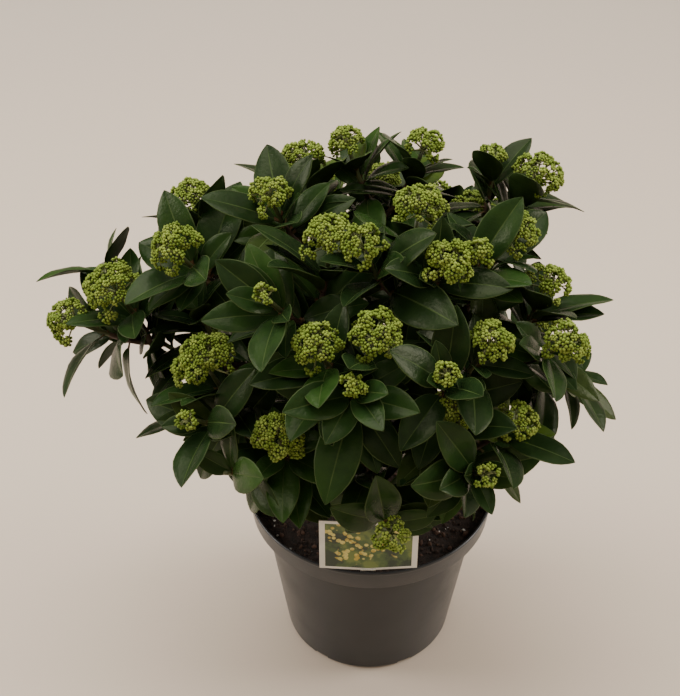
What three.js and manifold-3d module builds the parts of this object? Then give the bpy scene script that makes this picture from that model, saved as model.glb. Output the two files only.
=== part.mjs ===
// A potted skimmia: a small evergreen shrub in a round nursery pot with a picture card.
// Millimetres, +Z up. The origin is the centre of the pot's flat underside, and -Y is the front.
import * as THREE from 'three';
import { mergeVertices } from 'three/addons/utils/BufferGeometryUtils.js';
import Module from 'manifold-3d';

const wasm = await Module();
wasm.setup();

// ---- Driving dimensions -------------------------------------------------------------------

const GAP = 0.3;                     // clearance between two solids that touch
const MERGE = 0.0005;                // corners closer than this are made one
const UP = new THREE.Vector3(0, 0, 1);

const POT = {
  height: 174, rimRadius: 115, collarDepth: 22, collarRadius: 112.5, wallTopRadius: 101.5,
  baseRadius: 82, edgeRound: 5, wall: 2.2, floor: 7, sides: 24,
  notches: 6, firstNotch: -35, notchWidth: 15, notchHeight: 5, notchDepth: 7,
};
const SOIL = { rimDrop: 12, mound: 3, seatRadius: 26 };
const CARD = {
  width: 85, height: 58, thickness: 1, crease: 3, centreX: -4, setback: 111.4, lift: 1.2,
  stakeWidth: 13, stakeTilt: 31, stakeLength: 46, shaded: 14, sightRise: 0.7,
};

const TRUNK = {
  top: 208, footRadius: 18, radius: 12.5, topRadius: 10, leanX: 5, leanY: -3,
  sides: 10, steps: 4, flareFall: 4, ridges: 5, ridge: 0.14,
};
const LIMB = { startRadius: 7, endRadius: 5, sides: 6, steps: 4 };
const BOUGH = { startRadius: 4.2, endRadius: 3.2, sides: 4, steps: 2 };

// Each limb leaves the trunk's head and ends at its azimuth (from -Y towards +X), reach and height.
const LIMBS = {
  front_right: { azimuth: 28, reach: 52, height: 318, leave: 1.0 },
  back_left: { azimuth: -150, reach: 62, height: 316, leave: 0.96 },
  left: { azimuth: -94, reach: 96, height: 296, leave: 0.9 },
  right: { azimuth: 74, reach: 92, height: 300, leave: 0.84 },
  back_right: { azimuth: 145, reach: 66, height: 312, leave: 0.88 },
  front_left: { azimuth: -36, reach: 62, height: 306, leave: 0.8 },
};

// Each mass: the limb that carries it and how far along it the bough leaves, the middle of its
// heads (azimuth, reach, height), how far the shoots spread from it, the turn of the first one,
// and the diameter of the flower head on each shoot (0 on a shoot that bears leaves only).
const MASSES = {
  far_left: {
    limb: 'left', from: 1.0, azimuth: -90, reach: 233, height: 392,
    spread: 31, turn: -63, heads: [38, 48, 0], seed: 110661,
  },
  left_high: {
    limb: 'left', from: 0.85, azimuth: -98, reach: 159, height: 447,
    spread: 40, turn: 3, heads: [39, 38], seed: 63529,
  },
  left_low: {
    limb: 'left', from: 0.7, azimuth: -56, reach: 171, height: 366,
    spread: 26, turn: 130, heads: [50, 18], seed: 32913,
  },
  top_left: {
    limb: 'back_left', from: 0.9, azimuth: -121, reach: 85, height: 478,
    spread: 36, turn: 11, heads: [34, 35], seed: 32956,
  },
  top: {
    limb: 'back_right', from: 0.85, azimuth: 173, reach: 81, height: 488,
    spread: 33, turn: 5, heads: [30, 32], seed: 30260,
  },
  upper_left: {
    limb: 'front_left', from: 1.0, azimuth: -41, reach: 92, height: 464,
    spread: 36, turn: 88, heads: [42, 20], seed: 66009,
  },
  upper_right: {
    limb: 'front_right', from: 1.0, azimuth: 25, reach: 58, height: 479,
    spread: 38, turn: 52, heads: [43, 32, 36], seed: 64913,
  },
  top_right: {
    limb: 'back_right', from: 1.0, azimuth: 119, reach: 136, height: 475,
    spread: 21, turn: -134, heads: [40, 24], seed: 71864,
  },
  right_high: {
    limb: 'right', from: 0.75, azimuth: 63, reach: 101, height: 472,
    spread: 22, turn: -14, heads: [42, 24], seed: 75355,
  },
  right: {
    limb: 'right', from: 1.0, azimuth: 62, reach: 157, height: 425,
    spread: 30, turn: 39, heads: [37, 34], seed: 71983,
  },
  centre_right: {
    limb: 'front_right', from: 0.85, azimuth: 28, reach: 143, height: 421,
    spread: 24, turn: 16, heads: [36, 20], seed: 65102,
  },
  right_low: {
    limb: 'front_right', from: 0.6, azimuth: 30, reach: 165, height: 360,
    spread: 31, turn: 0, heads: [32, 34, 20], seed: 91982,
  },
  centre: {
    limb: 'front_left', from: 0.85, azimuth: -10, reach: 131, height: 426,
    spread: 26, turn: 168, heads: [37, 20, 42], seed: 33530,
  },
  front_left: {
    limb: 'front_left', from: 0.6, azimuth: -36, reach: 166, height: 333,
    spread: 26, turn: 60, heads: [42, 0], seed: 92063,
  },
  front: {
    limb: 'front_right', from: 0.4, azimuth: 0, reach: 146, height: 314,
    spread: 42, turn: 105, heads: [36, 28], seed: 91593,
  },
  back: {
    limb: 'back_left', from: 1.0, azimuth: -172, reach: 142, height: 420,
    spread: 34, turn: 20, heads: [38, 34, 36], seed: 60750,
  },
  back_left: {
    limb: 'back_left', from: 0.7, azimuth: -135, reach: 160, height: 390,
    spread: 34, turn: 60, heads: [40, 36], seed: 73478,
  },
  back_right: {
    limb: 'back_right', from: 0.7, azimuth: 146, reach: 160, height: 395,
    spread: 36, turn: 0, heads: [36, 40, 30], seed: 33826,
  },
  left_middle: {
    limb: 'left', from: 0.75, azimuth: -84, reach: 166, height: 372,
    spread: 24, turn: 90, heads: [0, 0], seed: 92601,
  },
  side_left: {
    limb: 'left', from: 0.5, azimuth: -68, reach: 146, height: 300,
    spread: 26, turn: 30, heads: [0, 0], seed: 90712,
  },
  side_right: {
    limb: 'right', from: 0.6, azimuth: 84, reach: 156, height: 350,
    spread: 28, turn: 40, heads: [34, 0], seed: 1029,
  },
  back_low: {
    limb: 'back_right', from: 0.5, azimuth: 175, reach: 150, height: 315,
    spread: 34, turn: 0, heads: [34, 0], seed: 71426,
  },
  back_side: {
    limb: 'back_left', from: 0.5, azimuth: -118, reach: 155, height: 305,
    spread: 30, turn: 0, heads: [30, 0], seed: 72626,
  },
};

const CROWN_FOOT = new THREE.Vector3(0, 0, 200);
const SHOOT = {
  upturn: 0.35, forkDepth: 66, stemLength: 20, lean: 0.35, stemRadius: 3.2, forkRadius: 2.8, endRadius: 1.8,
  steps: 2, peduncle: 15, headSink: 3,
};
const WHORL = { leaves: 8, start: 1, depth: 32, topPitch: 50, lowPitch: 95, topLength: 60, lowLength: 82 };
const LOWER_WHORL = {
  leaves: 3, start: 44, depth: 22, topPitch: 75, lowPitch: 95, topLength: 62, lowLength: 76,
};
const LEAF = {
  goldenAngle: 137.5, pitchJitter: 9, turnJitter: 14, widthShare: 0.44, sizeJitter: 0.12,
  root: 0.6, stalk: 0.07, widest: 0.46, keelAt: 0.34, keel: 1.9,
  rise: 0.35, topDroop: 0.14, lowDroop: 0.4, fold: 0.38,
};
// Heights and widths of a flower head, as shares of its diameter and radius.
const HEAD = { lobes: 5, valley: 0.68, waist: 0.6, foot: -0.3, brow: 0.24, crown: 0.4 };
// When a leaf leaves its mass's space it is tried again: degrees steeper, and share of its length.
const LEAF_TRIES = [[0, 1], [-16, 1], [12, 0.9], [-14, 0.8], [-30, 0.85], [10, 0.7], [-20, 0.65]];
// The crown's lower edge: level over the pot, rising outwards from the rim, and rising once more
// from this far in front of the pot's middle, so that the rim stays in sight.
const SKIRT = { height: 194, slope: 0.85, front: 60, frontSlope: 0.35 };
const CLEAR = { overreach: 20, leaf: 0.4, card: 3, head: 0.5 };

// ---- Small helpers ------------------------------------------------------------------------

const radians = THREE.MathUtils.degToRad;
const mix = THREE.MathUtils.lerp;

function polar(azimuth, reach, height) {
  const angle = radians(azimuth);
  return new THREE.Vector3(reach * Math.sin(angle), -reach * Math.cos(angle), height);
}

// A small seeded generator of numbers from 0 to 1.
function randomFrom(seed) {
  let state = seed >>> 0;
  return () => {
    state = (state + 0x6D2B79F5) >>> 0;
    let mixed = Math.imul(state ^ (state >>> 15), 1 | state);
    mixed = (mixed + Math.imul(mixed ^ (mixed >>> 7), 61 | mixed)) ^ mixed;
    return ((mixed ^ (mixed >>> 14)) >>> 0) / 4294967296;
  };
}

// The direction at an angle round from the first of two square directions to the second.
function around(across, over, angle) {
  return across.clone().multiplyScalar(Math.cos(angle)).addScaledVector(over, Math.sin(angle));
}

function meshFrom(points, faces) {
  const geometry = new THREE.BufferGeometry();
  const numbers = points.flatMap((p) => [p.x, p.y, p.z]);
  geometry.setAttribute('position', new THREE.Float32BufferAttribute(numbers, 3));
  geometry.setIndex(faces.flat());
  return geometry;
}

// The closed solid of a geometry, with corners that lie within the tolerance made one.
function solid(geometry, tolerance = MERGE) {
  geometry.deleteAttribute('normal');
  geometry.deleteAttribute('uv');
  const merged = mergeVertices(geometry, tolerance);
  const index = merged.index.array;
  const triangles = [];
  for (let i = 0; i < index.length; i += 3) {
    const [a, b, c] = [index[i], index[i + 1], index[i + 2]];
    if (a !== b && b !== c && c !== a) triangles.push(a, b, c);
  }
  return new wasm.Manifold(new wasm.Mesh({
    numProp: 3,
    vertProperties: new Float32Array(merged.attributes.position.array),
    triVerts: new Uint32Array(triangles),
  }));
}

function fuse(solids) {
  if (solids.length === 1) return solids[0];
  const half = solids.length >> 1;
  return fuse(solids.slice(0, half)).add(fuse(solids.slice(half)));
}

function largestPiece(body) {
  const pieces = body.decompose();
  return pieces.reduce((best, piece) => (piece.volume() > best.volume() ? piece : best));
}

function surface(body) {
  const mesh = body.getMesh();
  const geometry = new THREE.BufferGeometry();
  geometry.setAttribute('position', new THREE.BufferAttribute(new Float32Array(mesh.vertProperties), 3));
  geometry.setIndex(new THREE.BufferAttribute(new Uint32Array(mesh.triVerts), 1));
  return geometry;
}

const object = new THREE.Group();

function place(name, body, material) {
  const geometry = surface(solid(surface(body)));
  geometry.computeVertexNormals();
  const mesh = new THREE.Mesh(geometry, material);
  mesh.name = name;
  object.add(mesh);
  return body;
}

function finish(color, roughness) {
  return new THREE.MeshStandardMaterial({ color, roughness, metalness: 0, flatShading: true });
}

const FINISHES = {
  pot: finish(0x45423c, 0.55),
  soil: finish(0x1e1613, 0.95),
  card: finish(0xd8d4c4, 0.45),
  bark: finish(0x5a4632, 0.85),
  foliage: finish(0x24381f, 0.4),
};

// ---- Pot, soil and card ---------------------------------------------------------------------

function lathe(profile) {
  const points = profile.map(([r, z]) => new THREE.Vector2(r, z));
  return solid(new THREE.LatheGeometry(points, POT.sides).rotateX(Math.PI / 2));
}

const collarFoot = POT.height - POT.collarDepth;
const soilHeight = POT.height - SOIL.rimDrop;

// The inside of the pot, from the middle of its floor to the rim.
function potInside(inset) {
  return [
    [POT.baseRadius - POT.wall - inset, POT.floor + inset],
    [POT.wallTopRadius - POT.wall - inset, collarFoot + inset],
    [POT.collarRadius - POT.wall - inset, collarFoot + POT.wall + inset],
  ];
}

function makePot() {
  const lip = 2;
  const body = lathe([
    [0, 0],
    [POT.baseRadius - POT.edgeRound, 0],
    [POT.baseRadius - 0.3 * POT.edgeRound, 0.3 * POT.edgeRound],
    [POT.baseRadius, POT.edgeRound],
    [POT.wallTopRadius, collarFoot - POT.wall],
    [POT.collarRadius, collarFoot],
    [POT.rimRadius - 1, POT.height - lip],
    [POT.rimRadius, POT.height - 0.5 * lip],
    [POT.rimRadius - 0.5, POT.height],
    [POT.rimRadius - POT.wall, POT.height],
    ...potInside(0).reverse(),
    [0, POT.floor],
  ]);
  const cuts = Array.from({ length: POT.notches }, (_, k) => {
    const box = new THREE.BoxGeometry(POT.notchWidth, 2 * POT.notchDepth, 2 * POT.notchHeight);
    box.translate(0, -POT.baseRadius, 0);
    return solid(box.rotateZ(radians(POT.firstNotch + (360 / POT.notches) * k)));
  });
  return body.subtract(fuse(cuts));
}

// The card stands on the rim, creased down its middle, and its stake slants into the soil.
function makeCard(inflate) {
  const half = CARD.width / 2;
  const thick = CARD.thickness / 2 + inflate;
  const corners = [[-half, CARD.crease], [0, 0], [half, CARD.crease]];
  const outline = new THREE.Shape([
    ...corners.map(([x, y]) => new THREE.Vector2(x, y - thick)),
    ...corners.reverse().map(([x, y]) => new THREE.Vector2(x, y + thick)),
  ]);
  const foot = POT.height + CARD.lift;
  const card = new THREE.ExtrudeGeometry(outline, { depth: CARD.height, bevelEnabled: false });
  card.translate(CARD.centreX, -CARD.setback, foot);
  const length = CARD.stakeLength + 2 * inflate;
  const stake = new THREE.BoxGeometry(CARD.stakeWidth + 2 * inflate, 2 * thick, length);
  stake.translate(0, 0, -length / 2 + 2).rotateX(radians(CARD.stakeTilt));
  stake.translate(CARD.centreX, -CARD.setback, foot);
  return solid(card).add(solid(stake));
}

function makeSoil() {
  const [foot, shoulder, collar] = potInside(GAP);
  const body = lathe([
    [0, foot[1]],
    foot,
    shoulder,
    collar,
    [POT.collarRadius - POT.wall - GAP + 0.8, soilHeight],
    [0.75 * POT.collarRadius, soilHeight + 0.6 * SOIL.mound],
    [SOIL.seatRadius, soilHeight + SOIL.mound],
    [0, soilHeight + SOIL.mound],
  ]);
  return body.subtract(makeCard(GAP));
}

// ---- Trunk, limbs and boughs ------------------------------------------------------------------

// The closed solid between the first and the last of a row of rings, each a list of as many points.
function loft(rings) {
  const sides = rings[0].length;
  const last = rings.length - 1;
  const at = (i, k) => i * sides + (k % sides);
  const faces = [];
  for (let i = 0; i < last; i += 1) {
    for (let k = 0; k < sides; k += 1) {
      faces.push([at(i, k), at(i, k + 1), at(i + 1, k + 1)], [at(i, k), at(i + 1, k + 1), at(i + 1, k)]);
    }
  }
  for (let k = 1; k < sides - 1; k += 1) {
    faces.push([at(0, 0), at(0, k + 1), at(0, k)], [at(last, 0), at(last, k), at(last, k + 1)]);
  }
  return solid(meshFrom(rings.flat(), faces));
}

// Round sections along a curve; radiusAt gives the radius from the start (0) to the end (1).
function tube(curve, radiusAt, sides, steps) {
  const frames = curve.computeFrenetFrames(steps, false);
  return loft(Array.from({ length: steps + 1 }, (_, i) => (
    Array.from({ length: sides }, (__, k) => {
      const angle = (2 * Math.PI * k) / sides;
      return curve.getPointAt(i / steps)
        .addScaledVector(frames.normals[i], radiusAt(i / steps) * Math.cos(angle))
        .addScaledVector(frames.binormals[i], radiusAt(i / steps) * Math.sin(angle));
    }))));
}

const taper = (start, end, inflate = 0) => (t) => mix(start, end, t) + inflate;

const trunkFoot = new THREE.Vector3(0, 0, soilHeight + SOIL.mound + GAP);
const trunkTop = new THREE.Vector3(TRUNK.leanX, TRUNK.leanY, TRUNK.top);
const trunkAt = (t) => trunkFoot.clone().lerp(trunkTop, t);

// Level sections from the flat foot, where ridges run out into the roots, to the fork.
function makeTrunk(inflate) {
  return loft(Array.from({ length: TRUNK.steps + 1 }, (_, i) => {
    const t = i / TRUNK.steps;
    const flare = (1 - t) ** TRUNK.flareFall;
    return Array.from({ length: TRUNK.sides }, (__, k) => {
      const angle = (2 * Math.PI * k) / TRUNK.sides;
      const ridge = 1 + TRUNK.ridge * flare * Math.cos(TRUNK.ridges * angle);
      const plain = mix(TRUNK.radius, TRUNK.topRadius, t) + (TRUNK.footRadius - TRUNK.radius) * flare;
      return trunkAt(t).add(polar((360 * k) / TRUNK.sides, plain * ridge + inflate, 0));
    });
  }));
}

// Limbs and boughs are cubic curves.
function limbCurve(row) {
  const start = trunkAt(row.leave).addScaledVector(UP, -6);
  const end = polar(row.azimuth, row.reach, row.height);
  const outward = polar(row.azimuth, 1, 0);
  const length = start.distanceTo(end);
  const first = start.clone().addScaledVector(outward, 0.28 * length).addScaledVector(UP, 0.22 * length);
  const second = end.clone().addScaledVector(UP, -0.4 * length);
  return new THREE.CubicBezierCurve3(start, first, second, end);
}

function massFrame(row) {
  const middle = polar(row.azimuth, row.reach, row.height);
  const axis = middle.clone().sub(CROWN_FOOT).normalize().addScaledVector(UP, SHOOT.upturn).normalize();
  const across = UP.clone().cross(axis).normalize();
  const over = axis.clone().cross(across);
  const fork = middle.clone().addScaledVector(axis, -SHOOT.forkDepth);
  const root = fork.clone().addScaledVector(axis, -SHOOT.stemLength);
  return { middle, axis, across, over, fork, root };
}

function boughCurve(row, limb, frame) {
  const start = limb.getPoint(row.from);
  const heading = limb.getTangent(row.from);
  const end = frame.root.clone().addScaledVector(frame.axis, -GAP);
  const length = start.distanceTo(end);
  const first = start.clone().addScaledVector(heading, 0.3 * length);
  const second = end.clone().addScaledVector(frame.axis, -0.4 * length);
  return new THREE.CubicBezierCurve3(start, first, second, end);
}

// ---- Growth: where the shoots, leaves and heads of each mass stand -----------------------------

function shootRows(row, frame) {
  return row.heads.map((diameter, k) => {
    const angle = radians(row.turn + (360 * k) / row.heads.length);
    const outward = around(frame.across, frame.over, angle);
    const head = frame.middle.clone().addScaledVector(outward, row.spread);
    const lean = frame.axis.clone().addScaledVector(outward, SHOOT.lean).normalize();
    const sink = diameter > 0 ? SHOOT.headSink : 0;
    const top = head.clone().addScaledVector(lean, diameter * HEAD.foot + sink);
    const length = frame.fork.distanceTo(top);
    const first = frame.fork.clone().addScaledVector(frame.axis.clone().add(outward), 0.2 * length);
    const second = top.clone().addScaledVector(lean, -0.45 * length);
    const curve = new THREE.CubicBezierCurve3(frame.fork, first, second, top);
    const bare = diameter > 0 ? SHOOT.peduncle : 0;
    return { diameter, head, lean, top, length, bare, curve };
  });
}

// The places that mark a mass's own space: the points nearer to them than to another mass's,
// and a leaf's width past that where it touches no other leaf.
function spaceSites(frame, shoots) {
  const sites = [frame.root, frame.fork];
  shoots.forEach((shoot) => {
    sites.push(shoot.curve.getPoint(0.35), shoot.curve.getPoint(0.7), shoot.top);
    sites.push(shoot.head.clone().addScaledVector(shoot.lean, 0.3 * shoot.diameter));
  });
  return sites;
}

const growth = Object.entries(MASSES).map(([name, row]) => {
  const frame = massFrame(row);
  const shoots = shootRows(row, frame);
  return { name, row, frame, shoots, sites: spaceSites(frame, shoots), leaves: [] };
});

function inOwnSpace(point, mass) {
  const nearest = (sites) => Math.min(...sites.map((site) => site.distanceTo(point)));
  const own = nearest(mass.sites) - CLEAR.overreach;
  return growth.every((other) => other === mass || nearest(other.sites) > own);
}

// Leaves keep above the crown's lower edge, and off the card except for its top, so it can be read
// from above.
function aboveSkirt(point) {
  const beyondRim = Math.max(0, Math.hypot(point.x, point.y) - POT.rimRadius);
  const forward = Math.max(0, -point.y - SKIRT.front);
  if (point.z < SKIRT.height + SKIRT.slope * beyondRim + SKIRT.frontSlope * forward) return false;
  const besideCard = Math.abs(point.x - CARD.centreX) < CARD.width / 2 + CLEAR.card;
  const inFront = -CARD.setback - point.y;
  const cardTop = POT.height + CARD.lift + CARD.height;
  const seen = cardTop - CARD.shaded + CARD.sightRise * inFront;
  const floor = inFront > CLEAR.card ? seen : cardTop + CLEAR.card;
  return !besideCard || inFront < -CARD.crease - CLEAR.card || point.z > floor;
}

// A leaf is set out from its root along its own heading, with its upper side towards the shoot's tip.
function leafPlan(shoot, along, turn, pitch, length, droop) {
  const t = Math.max(0, 1 - along / shoot.length);
  const root = shoot.curve.getPoint(t);
  const stem = shoot.curve.getTangent(t);
  const across = UP.clone().cross(stem).normalize();
  const over = stem.clone().cross(across);
  const outward = around(across, over, turn);
  const heading = stem.clone().multiplyScalar(Math.cos(pitch)).addScaledVector(outward, Math.sin(pitch));
  const upper = stem.clone().multiplyScalar(Math.sin(pitch)).addScaledVector(outward, -Math.cos(pitch));
  const side = heading.clone().cross(upper);
  return { root, heading, upper, side, length, width: length * LEAF.widthShare, droop };
}

// A point of the leaf: x along it (0 root, 1 tip), y across (-1 to 1 of the half width), h above.
function leafPoint(leaf, x, y, h) {
  const arch = leaf.droop * (LEAF.rise * x - x * x) * leaf.length;
  const raise = LEAF.fold * Math.abs(y) * leaf.width / 2;
  return leaf.root.clone()
    .addScaledVector(leaf.heading, x * leaf.length)
    .addScaledVector(leaf.side, y * leaf.width / 2)
    .addScaledVector(leaf.upper, arch + raise + h);
}

// A leaf's solid: a flat pointed blade over a keel, its root sunk past the middle of the twig.
function leafSolid(leaf, inflate) {
  const grown = { ...leaf, width: leaf.width + 2 * inflate, length: leaf.length + inflate };
  const points = [
    leafPoint(grown, -LEAF.root / leaf.length, 0, 0),
    leafPoint(grown, LEAF.widest, -1, inflate),
    leafPoint(grown, 1, 0, inflate),
    leafPoint(grown, LEAF.widest, 1, inflate),
    leafPoint(grown, LEAF.keelAt, 0, -LEAF.keel - inflate),
  ];
  const [root, left, tip, right, keel] = [0, 1, 2, 3, 4];
  return solid(meshFrom(points, [
    [root, right, left], [left, right, tip],
    [root, left, keel], [left, tip, keel], [tip, right, keel], [right, root, keel],
  ]));
}

// The blade as triangles, from just past its stalk, to tell whether two leaves cross.
function bladeFaces(leaf) {
  const [stalk, left, tip, right] = [[LEAF.stalk, 0], [LEAF.widest, -1], [1, 0], [LEAF.widest, 1]];
  const [a, b, c, d] = [stalk, left, tip, right].map(([x, y]) => leafPoint(leaf, x, y, 0));
  return [[a, b, d], [b, c, d]];
}

function edgeCrosses(a, b, face) {
  const ray = new THREE.Ray(a, b.clone().sub(a).normalize());
  const hit = ray.intersectTriangle(face[0], face[1], face[2], false, new THREE.Vector3());
  return hit !== null && hit.distanceTo(a) <= a.distanceTo(b);
}

function bladesCross(one, other) {
  const pierces = (faces, targets) => faces.some(([a, b, c]) => targets.some((face) => (
    edgeCrosses(a, b, face) || edgeCrosses(b, c, face) || edgeCrosses(c, a, face))));
  return pierces(one, other) || pierces(other, one);
}

// Whether a leaf runs through a twig of its own mass or into a flower head there.
function hitsOwnShoot(leaf, points, shoot) {
  const path = shoot.curve.getPoints(SHOOT.steps);
  const crosses = (point, i) => leaf.blade.some((face) => edgeCrosses(path[i], point, face));
  const inHead = (point) => point.distanceTo(shoot.head) < CLEAR.head * shoot.diameter;
  return path.slice(1).some(crosses) || points.some(inHead);
}

const bounded = (body) => ({ body, box: body.boundingBox() });
const boxesMeet = (one, other) => (
  [0, 1, 2].every((k) => one.min[k] < other.max[k] && other.min[k] < one.max[k]));
const meet = (one, other) => boxesMeet(one.box, other.box) && !one.body.intersect(other.body).isEmpty();

// Whether a leaf, made a little larger all round, touches a limb or anything of another mass.
function touchesOthers(leaf, mass) {
  const larger = bounded(leafSolid(leaf, CLEAR.leaf));
  const others = growth.filter((other) => other !== mass);
  return carriers.some((limb) => meet(larger, limb))
    || others.some((other) => [...other.wood, ...other.leaves].some((grown) => meet(larger, grown)));
}

function leafFits(leaf, mass) {
  const tests = [[0.25, 0.7], [0.4, 1], [0.6, 1], [0.75, 0.8], [0.9, 0.4]];
  const across = ([x, y]) => [leafPoint(leaf, x, -y, 0), leafPoint(leaf, x, y, 0), leafPoint(leaf, x, 0, -1)];
  const points = tests.flatMap(across);
  points.push(leafPoint(leaf, 1, 0, 0));
  if (!points.every((point) => aboveSkirt(point) && inOwnSpace(point, mass))) return false;
  leaf.blade = bladeFaces(leaf);
  if (mass.leaves.some((grown) => bladesCross(leaf.blade, grown.blade))) return false;
  if (mass.shoots.some((shoot) => hitsOwnShoot(leaf, points, shoot))) return false;
  return !touchesOthers(leaf, mass);
}

function growWhorl(whorl, shoot, mass, random) {
  const start = 360 * random();
  for (let i = 0; i < whorl.leaves; i += 1) {
    const low = i / (whorl.leaves - 1);
    const turn = radians(start + LEAF.goldenAngle * i + LEAF.turnJitter * (2 * random() - 1));
    const pitch = mix(whorl.topPitch, whorl.lowPitch, low) + LEAF.pitchJitter * (2 * random() - 1);
    const length = mix(whorl.topLength, whorl.lowLength, low) * (1 + LEAF.sizeJitter * (2 * random() - 1));
    const droop = mix(LEAF.topDroop, LEAF.lowDroop, 0.6 * low + 0.4 * random());
    const along = shoot.bare + whorl.start + whorl.depth * low;
    const tries = LEAF_TRIES.map(([steeper, share]) => (
      leafPlan(shoot, along, turn, radians(pitch + steeper), length * share, droop)));
    const leaf = tries.find((plan) => leafFits(plan, mass));
    if (leaf) mass.leaves.push({ ...leaf, ...bounded(leafSolid(leaf, 0)) });
  }
}

// ---- Growth: the solids ---------------------------------------------------------------------------

// A flower head: a dome with deep lobes, whose flat foot sits on the shoot's tip.
function headSolid(shoot) {
  const radius = shoot.diameter / 2;
  const count = 2 * HEAD.lobes;
  const across = UP.clone().cross(shoot.lean).normalize();
  const over = shoot.lean.clone().cross(across);
  const at = (out, height, turn) => shoot.head.clone()
    .addScaledVector(across, radius * out * Math.cos(turn))
    .addScaledVector(over, radius * out * Math.sin(turn))
    .addScaledVector(shoot.lean, shoot.diameter * height);
  const points = Array.from({ length: count }, (_, k) => (
    at(k % 2 ? HEAD.valley : 1, k % 2 ? HEAD.foot : HEAD.foot / 2, (2 * Math.PI * k) / count)));
  for (let k = 0; k < HEAD.lobes; k += 1) {
    points.push(at(HEAD.waist, HEAD.brow, (2 * Math.PI * k) / HEAD.lobes));
  }
  points.push(at(0, HEAD.crown, 0));
  const top = points.length - 1;
  const faces = [];
  for (let k = 0; k < HEAD.lobes; k += 1) {
    const [low, valley, next] = [2 * k, 2 * k + 1, (2 * k + 2) % count];
    const [upper, upperNext] = [count + k, count + ((k + 1) % HEAD.lobes)];
    faces.push([low, valley, upper], [valley, upperNext, upper]);
    faces.push([valley, next, upperNext], [upper, upperNext, top]);
  }
  for (let k = 1; k < count - 1; k += 1) {
    faces.push([0, k + 1, k]);
  }
  return solid(meshFrom(points, faces));
}

// The stem from the bough's tip to the fork, the twig of each shoot and the head on it.
function growWood({ frame, shoots }) {
  const stemTop = frame.fork.clone().addScaledVector(frame.axis, SHOOT.forkRadius);
  const stemLine = new THREE.LineCurve3(frame.root, stemTop);
  const stem = tube(stemLine, taper(SHOOT.stemRadius, SHOOT.forkRadius), 4, 1);
  const thickness = taper(SHOOT.forkRadius, SHOOT.endRadius);
  const twigs = shoots.map((shoot) => tube(shoot.curve, thickness, 3, SHOOT.steps));
  const heads = shoots.filter((shoot) => shoot.diameter > 0).map(headSolid);
  return [stem, ...twigs, ...heads].map(bounded);
}

function growLeaves(mass) {
  const random = randomFrom(mass.row.seed);
  mass.shoots.forEach((shoot) => {
    growWhorl(WHORL, shoot, mass, random);
    growWhorl(LOWER_WHORL, shoot, mass, random);
  });
}

// ---- The plant and its pot ---------------------------------------------------------------------------

place('pot', makePot(), FINISHES.pot);
place('soil', makeSoil(), FINISHES.soil);
place('picture_card', makeCard(0), FINISHES.card);
place('trunk', makeTrunk(0), FINISHES.bark);

// Each limb is cut clear of the trunk and of the limbs before it, and each bough of all of these.
const carriers = [bounded(makeTrunk(GAP))];

function placeLimb(name, curve, size) {
  const thickness = (inflate) => taper(size.startRadius, size.endRadius, inflate);
  const make = (inflate) => tube(curve, thickness(inflate), size.sides, size.steps);
  const body = largestPiece(make(0).subtract(fuse(carriers.map((carrier) => carrier.body))));
  carriers.push(bounded(make(GAP)));
  place(name, body, FINISHES.bark);
}

const limbCurves = {};
Object.entries(LIMBS).forEach(([name, row]) => {
  limbCurves[name] = limbCurve(row);
  placeLimb(`limb_${name}`, limbCurves[name], LIMB);
});
growth.forEach((mass) => {
  placeLimb(`bough_${mass.name}`, boughCurve(mass.row, limbCurves[mass.row.limb], mass.frame), BOUGH);
  mass.wood = growWood(mass);
});
growth.forEach((mass) => {
  growLeaves(mass);
  const body = largestPiece(fuse([...mass.wood, ...mass.leaves].map((grown) => grown.body)));
  place(`foliage_${mass.name}`, body, FINISHES.foliage);
});

export default object;
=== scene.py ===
"""The looks of a potted skimmia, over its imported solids.

Lengths are in millimetres until a mesh is built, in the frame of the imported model: the origin is
the middle of the pot's flat underside, +Z is up and -Y is the front, where the picture card stands.
"""

from math import cos, hypot, pi, radians, sin, sqrt
from types import SimpleNamespace as Sizes

import bpy
import numpy as np
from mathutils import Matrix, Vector, noise
from mathutils.kdtree import KDTree
from numpy.linalg import norm


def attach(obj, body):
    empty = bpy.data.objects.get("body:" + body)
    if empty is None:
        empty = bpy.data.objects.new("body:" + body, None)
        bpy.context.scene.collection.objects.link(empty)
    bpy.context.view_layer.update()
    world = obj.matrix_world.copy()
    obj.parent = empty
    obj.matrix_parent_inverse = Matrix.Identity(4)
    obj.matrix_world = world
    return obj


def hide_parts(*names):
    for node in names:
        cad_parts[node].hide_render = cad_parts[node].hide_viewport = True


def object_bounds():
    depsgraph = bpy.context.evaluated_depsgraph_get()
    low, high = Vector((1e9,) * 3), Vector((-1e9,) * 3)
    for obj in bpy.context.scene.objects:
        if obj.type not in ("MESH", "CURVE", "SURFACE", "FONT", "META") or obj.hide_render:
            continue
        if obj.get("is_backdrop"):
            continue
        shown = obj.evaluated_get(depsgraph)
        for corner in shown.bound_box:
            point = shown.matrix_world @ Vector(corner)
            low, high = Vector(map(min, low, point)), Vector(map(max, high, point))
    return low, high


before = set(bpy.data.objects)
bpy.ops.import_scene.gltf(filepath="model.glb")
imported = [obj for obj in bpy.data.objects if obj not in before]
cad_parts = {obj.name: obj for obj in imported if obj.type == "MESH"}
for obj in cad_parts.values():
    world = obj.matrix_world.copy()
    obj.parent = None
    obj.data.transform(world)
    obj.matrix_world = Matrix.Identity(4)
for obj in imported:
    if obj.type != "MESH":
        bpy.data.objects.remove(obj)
cad_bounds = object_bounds()

# ---- Named sizes: the same as in the part's source ----

UP = np.array((0.0, 0.0, 1.0))
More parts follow.
